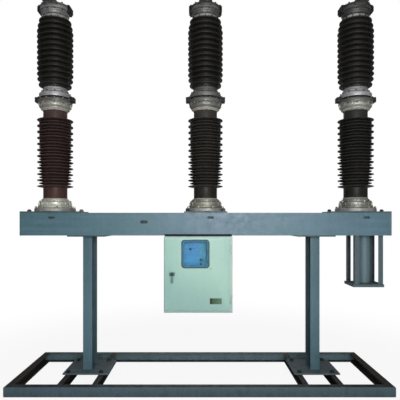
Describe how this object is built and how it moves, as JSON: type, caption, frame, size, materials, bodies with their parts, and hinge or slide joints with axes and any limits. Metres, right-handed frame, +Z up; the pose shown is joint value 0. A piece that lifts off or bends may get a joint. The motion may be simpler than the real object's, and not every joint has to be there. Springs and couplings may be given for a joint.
{
  "type": "three-pole substation circuit breaker",
  "caption": "Live-tank high-voltage circuit breaker: three ribbed insulator poles on a common beam, on two legs and a floor frame, with a hung drive cabinet whose door opens.",
  "frame": {"origin": "on the floor, under the middle of the beam and half way through the floor frame's depth", "axes": "+X along the beam to the right, +Y from the cabinet's door side to the back, +Z up along the poles"},
  "size_m": [3.1, 0.91, 3.216],
  "materials": {
    "brown_porcelain": "gloss glaze, dark brown",
    "black_porcelain": "gloss glaze, very dark brown",
    "cast_aluminium": "sand-cast, slightly dirty",
    "base_paint": "dirty slate paint",
    "beam_paint": "satin grey-blue paint",
    "leg_paint": "satin teal-grey paint",
    "cabinet_paint": "satin pale green paint",
    "black_rubber": "matt",
    "panel_blue": "satin blue paint",
    "clear_glass": "clear",
    "hinge_steel": "zinc plated",
    "lock_metal": "dark satin",
    "plate_metal": "plain, matt"
  },
  "bodies": {
    "frame": {"beam_end_plates": "beam_paint", "cabinet_hinge_leaves": "hinge_steel", "cabinet_shell": "cabinet_paint", "cabinet_top_gasket": "black_rubber", "crossbeam": "beam_paint", "foot_plates": "base_paint", "front_channel": "base_paint", "instrument_panel": "panel_blue", "left_cross_channels": "base_paint", "left_end_channel": "base_paint", "left_leg": "leg_paint", "left_middle_casting": "cast_aluminium", "left_pole_base": "cast_aluminium", "left_pole_plate": "beam_paint", "left_support_insulator": "brown_porcelain", "left_top_cap": "cast_aluminium", "left_upper_insulator": "black_porcelain", "leg_head_plates": "leg_paint", "middle_middle_casting": "cast_aluminium", "middle_pole_base": "cast_aluminium", "middle_pole_plate": "beam_paint", "middle_support_insulator": "brown_porcelain", "middle_top_cap": "cast_aluminium", "middle_upper_insulator": "black_porcelain", "rear_channel": "base_paint", "right_cross_channels": "base_paint", "right_end_channel": "base_paint", "right_leg": "leg_paint", "right_middle_casting": "cast_aluminium", "right_pole_base": "cast_aluminium", "right_pole_plate": "beam_paint", "right_support_insulator": "brown_porcelain", "right_top_cap": "cast_aluminium", "right_upper_insulator": "black_porcelain", "spring_bracket_posts": "leg_paint", "spring_bracket_tray": "leg_paint", "spring_tube": "leg_paint"},
    "door": {"cabinet_door": "cabinet_paint", "window_gasket": "black_rubber", "window_glass": "clear_glass", "door_hinge_knuckles": "hinge_steel", "lock_body": "lock_metal", "nameplate": "plate_metal"},
    "handle": {"lock_handle": "lock_metal"}
  },
  "joints": [
    {"name": "door_hinge", "type": "hinge", "parent": "frame", "child": "door", "pos_m": [0.203, -0.242, 0.916], "axis": [0, 0, 1], "range_deg": [0, 110]},
    {"name": "lock_turn", "type": "hinge", "parent": "door", "child": "handle", "pos_m": [-0.273, -0.26, 0.92], "axis": [0, -1, 0], "range_deg": [0, 90]}
  ]
}
